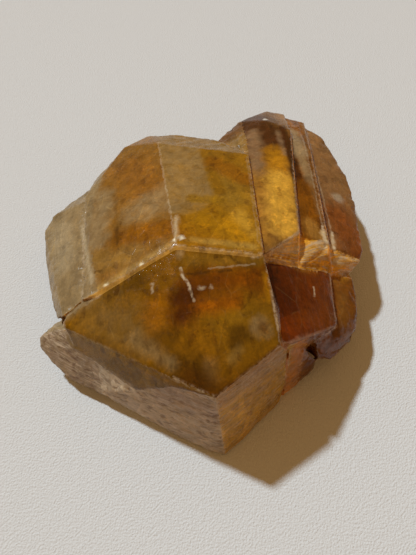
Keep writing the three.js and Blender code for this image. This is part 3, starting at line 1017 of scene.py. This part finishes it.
line_break = ramp(noise_at(stone_mm, 0.9, 3), 0.36, 0.52, 0.25, 1.0)
look = blend(maths("MULTIPLY", all_lines(DARK_LINES), line_break), look, DARK_MARK_AND_SHADE)
look = blend(maths("MULTIPLY", all_lines(PALE_LINES), line_break), look, PALE_MARK_AND_GLINT)
print("single lines:", len(tree.nodes), "nodes so far")

# %% [markdown]
# ## Scratches and pits on the broken walls
#
# The walls round the front corner are frosted: fine pale scratches run along them in
# two crossing directions, between small dark pits. Both are noises stretched along
# the fibres, cut off sharply, and shown only where the stored pitted value asks.

# %% Scratches and pits
SCRATCH_TAN = (0.66, 0.50, 0.35)
PIT_BROWN = (0.16, 0.070, 0.020)
scratches = ramp(noise_at(scratch_mm, 1.0, 3, 0.6, 0.4), 0.52, 0.60)
cross_scratches = ramp(noise_at(cross_scratch_mm, 1.0, 3, 0.6, 0.4), 0.55, 0.63)
scratches = maths("MAXIMUM", scratches, cross_scratches)
scratched_area = ramp(noise_at(stone_mm, 0.25, 2), 0.34, 0.50, 0.25, 1.0)
scratches = maths("MULTIPLY", scratches, scratched_area)
scratches = maths("MULTIPLY", scratches, maths("MAXIMUM", pitted, ramp(striated, 0.6, 1.0)))
look = blend(maths("MULTIPLY", scratches, 0.72), look, SCRATCH_TAN)

pits = ramp(noise_at(pit_mm, 1.0, 3, 0.6, 0.3), 0.52, 0.62)
pit_area = ramp(noise_at(stone_mm, 0.12, 2), 0.36, 0.56, 0.35, 1.0)
pits = maths("MULTIPLY", pits, maths("MULTIPLY", pitted, pit_area))
look = blend(maths("MULTIPLY", pits, 0.62), look, PIT_BROWN)
print("scratches and pits:", len(tree.nodes), "nodes so far")

# %% [markdown]
# ## Bruised edges and painted edge highlights
#
# Calcite is soft, and its edges crush to a pale line where they were knocked. The same
# pale line is also a painted highlight along the edges. The stored edge value marks
# where sharp edges are, and a noise picks the knocked and shining parts.

# %% Bruised edges and painted edge highlights
BRUISE_AND_SHEEN_TAN = (0.66, 0.50, 0.33)
knock_and_sheen_spots = ramp(noise_at(stone_mm, 0.9, 5, 0.7), 0.42, 0.62)
bruise_and_edge_sheen = maths("MULTIPLY", ramp(edge, 0.35, 0.95), knock_and_sheen_spots, clamp=True)
look = blend(maths("MULTIPLY", bruise_and_edge_sheen, 0.6), look, BRUISE_AND_SHEEN_TAN)
print("bruises:", len(tree.nodes), "nodes so far")

# %% [markdown]
# ## Gloss, clearness and fine bumps
#
# Milk and the bruised, highlighted edges make the stone both duller and less clear, so
# the same masks that coloured it now change its roughness and its transmission. The bump
# only holds what is too fine for real relief: grain, threads, pits and scratches.

# %% Roughness and clearness
feel = maths("ADD", rough, maths("MULTIPLY", milky, 0.10))
feel = maths("ADD", feel, maths("MULTIPLY", bruise_and_edge_sheen, 0.15))
uneven_gloss = ramp(noise_at(stone_mm, 0.7, 5, 0.65), 0.35, 0.75, -0.04, 0.16)
feel = maths("ADD", feel, uneven_gloss, clamp=True)
clear_of_milk = maths("SUBTRACT", 1.0, maths("MULTIPLY", milky, 0.7))
clear_of_bruise_and_sheen = maths("SUBTRACT", 1.0, maths("MULTIPLY", bruise_and_edge_sheen, 0.8))
clarity = maths("MULTIPLY", clear, clear_of_milk, clamp=True)
clarity = maths("MULTIPLY", clarity, clear_of_bruise_and_sheen, clamp=True)
print("gloss and clearness:", len(tree.nodes), "nodes so far")

# %% Fine bumps
BUMP_STRENGTH = 0.55
bump_height = maths("MULTIPLY", noise_at(stone_mm, 1.2, 6, 0.65), 0.10)
thread_height = maths("MULTIPLY", maths("MULTIPLY", threads, striated), 0.22)
bump_height = maths("ADD", bump_height, thread_height)
bump_height = maths("SUBTRACT", bump_height, maths("MULTIPLY", pits, 0.22))
bump_height = maths("SUBTRACT", bump_height, maths("MULTIPLY", hairline, 0.04))
bump_height = maths("ADD", bump_height, maths("MULTIPLY", scratches, 0.08))
bump = add("ShaderNodeBump")
bump.inputs["Strength"].default_value = BUMP_STRENGTH
bump.inputs["Distance"].default_value = MM
plug(bump_height, bump.inputs["Height"])
print("bumps:", len(tree.nodes), "nodes so far")

# %% [markdown]
# ## The clear stone itself
#
# One Principled shader does it all. Calcite bends light strongly, with an index of
# about 1.6. The absorption inside takes blue away first and red last, for each metre
# that the light travels, which gives the honey colour its depth.

# %% Surface and depth
AMBER = (0.88, 0.37, 0.02)
AMBER_DENSITY = 75
CALCITE_IOR = 1.6
WORN_GLOSS = 0.17
stone_shader = add("ShaderNodeBsdfPrincipled")
plug(look, stone_shader.inputs["Base Color"])
plug(feel, stone_shader.inputs["Roughness"])
plug(clarity, stone_shader.inputs["Transmission Weight"])
plug(bump.outputs[0], stone_shader.inputs["Normal"])
stone_shader.inputs["IOR"].default_value = CALCITE_IOR
stone_shader.inputs["Specular IOR Level"].default_value = WORN_GLOSS
depth_colour = add("ShaderNodeVolumeAbsorption")
depth_colour.inputs["Color"].default_value = (*AMBER, 1)
depth_colour.inputs["Density"].default_value = AMBER_DENSITY
result = add("ShaderNodeOutputMaterial")
plug(stone_shader.outputs[0], result.inputs["Surface"])
plug(depth_colour.outputs[0], result.inputs["Volume"])
print("material nodes:", len(tree.nodes))

# %% [markdown]
# ## The finished stone
#
# The fine mesh becomes the visible stone. It rides the one solid body and takes the
# plain solid's place, and its material is named so a user can change the variety.

# %% Place the stone
stone_mesh.materials.append(honey)
stone = bpy.data.objects.new("honey_calcite_stone", stone_mesh)
bpy.context.scene.collection.objects.link(stone)
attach(stone, "root")
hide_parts("calcite_specimen")
print("stone triangles:", len(stone_mesh.polygons))

# %% [markdown]
# ## Table, lamp and room light
#
# The stone rests on a plain pale table. One slightly cool lamp, up and to the left
# behind it, throws a crisp shadow to the right, and warm light from the room fills
# that shadow. The table is a little grainy, so light scatters softly off it.

# %% Table
TABLE_HALF = 3.0
TABLE_Z = -0.0001
table_mesh = bpy.data.meshes.new("table")
table_corners = [(-1, -1), (1, -1), (1, 1), (-1, 1)]
table_points = [(x * TABLE_HALF, y * TABLE_HALF, TABLE_Z) for x, y in table_corners]
table_mesh.from_pydata(table_points, [], [(0, 1, 2, 3)])
table = bpy.data.objects.new("table", table_mesh)
bpy.context.scene.collection.objects.link(table)

paint = bpy.data.materials.new("pale_table")
paint.use_nodes = True
tree = paint.node_tree
table_shader = tree.nodes["Principled BSDF"]
table_shader.inputs["Base Color"].default_value = (0.745, 0.745, 0.745, 1)
table_shader.inputs["Roughness"].default_value = 0.55
table_place = add("ShaderNodeTexCoord")
table_grain = add("ShaderNodeTexNoise")
plug(table_place.outputs["Object"], table_grain.inputs["Vector"])
table_grain.inputs["Scale"].default_value = 2300
table_grain.inputs["Detail"].default_value = 4
table_bump = add("ShaderNodeBump")
table_bump.inputs["Strength"].default_value = 0.8
table_bump.inputs["Distance"].default_value = 0.0003
plug(table_grain.outputs["Fac"], table_bump.inputs["Height"])
plug(table_bump.outputs[0], table_shader.inputs["Normal"])
table_mesh.materials.append(paint)
print("table side, m:", 2 * TABLE_HALF)

# %% [markdown]
# The lamp is a sun, so its rays are parallel and the shadow keeps its size. Its mirror
# image would burn white spots on every flat face, so glossy rays don't see it. A much
# weaker copy that only makes shine gives the small glints back.

# %% Lamp
TO_LAMP = Vector((-0.454, 0.491, 0.744))
lamp_data = bpy.data.lights.new("lamp", "SUN")
lamp_data.energy = 2.75
lamp_data.angle = math.radians(3.5)
lamp_data.color = (0.86, 1.0, 1.08)
lamp = bpy.data.objects.new("lamp", lamp_data)
lamp.visible_glossy = False
lamp.rotation_euler = TO_LAMP.to_track_quat("Z", "Y").to_euler()
bpy.context.scene.collection.objects.link(lamp)
print("lamp height, degrees:", round(math.degrees(math.asin(TO_LAMP.normalized().z))))

# %% Glints: a weak copy of the lamp that only shows as shine
glint_data = bpy.data.lights.new("glints", "SUN")
glint_data.energy = 0.27
glint_data.angle = math.radians(6)
glint = bpy.data.objects.new("glints", glint_data)
glint.visible_diffuse = False
glint.visible_transmission = False
glint.rotation_euler = lamp.rotation_euler
bpy.context.scene.collection.objects.link(glint)
print("glint strength against the lamp:", round(glint_data.energy / lamp_data.energy, 2))

# %% [markdown]
# The room's light is warm and dim. What the camera sees past the table is a plain pale
# backdrop instead, so low views don't look into a brown sky.

# %% Room light
WARM_FILL = (0.300, 0.172, 0.066)
BACKDROP = (0.60, 0.58, 0.55)
room = bpy.data.worlds.new("room")
room.use_nodes = True
tree = room.node_tree
fill = tree.nodes["Background"]
fill.inputs["Color"].default_value = (*WARM_FILL, 1)
fill.inputs["Strength"].default_value = 1.0
seen = add("ShaderNodeBackground")
seen.inputs["Color"].default_value = (*BACKDROP, 1)
which = add("ShaderNodeLightPath")
either = add("ShaderNodeMixShader")
plug(which.outputs["Is Camera Ray"], either.inputs[0])
plug(fill.outputs[0], either.inputs[1])
plug(seen.outputs[0], either.inputs[2])
plug(either.outputs[0], tree.nodes["World Output"].inputs["Surface"])
bpy.context.scene.world = room
bpy.context.scene.view_settings.view_transform = "Standard"
print("room fill:", WARM_FILL)
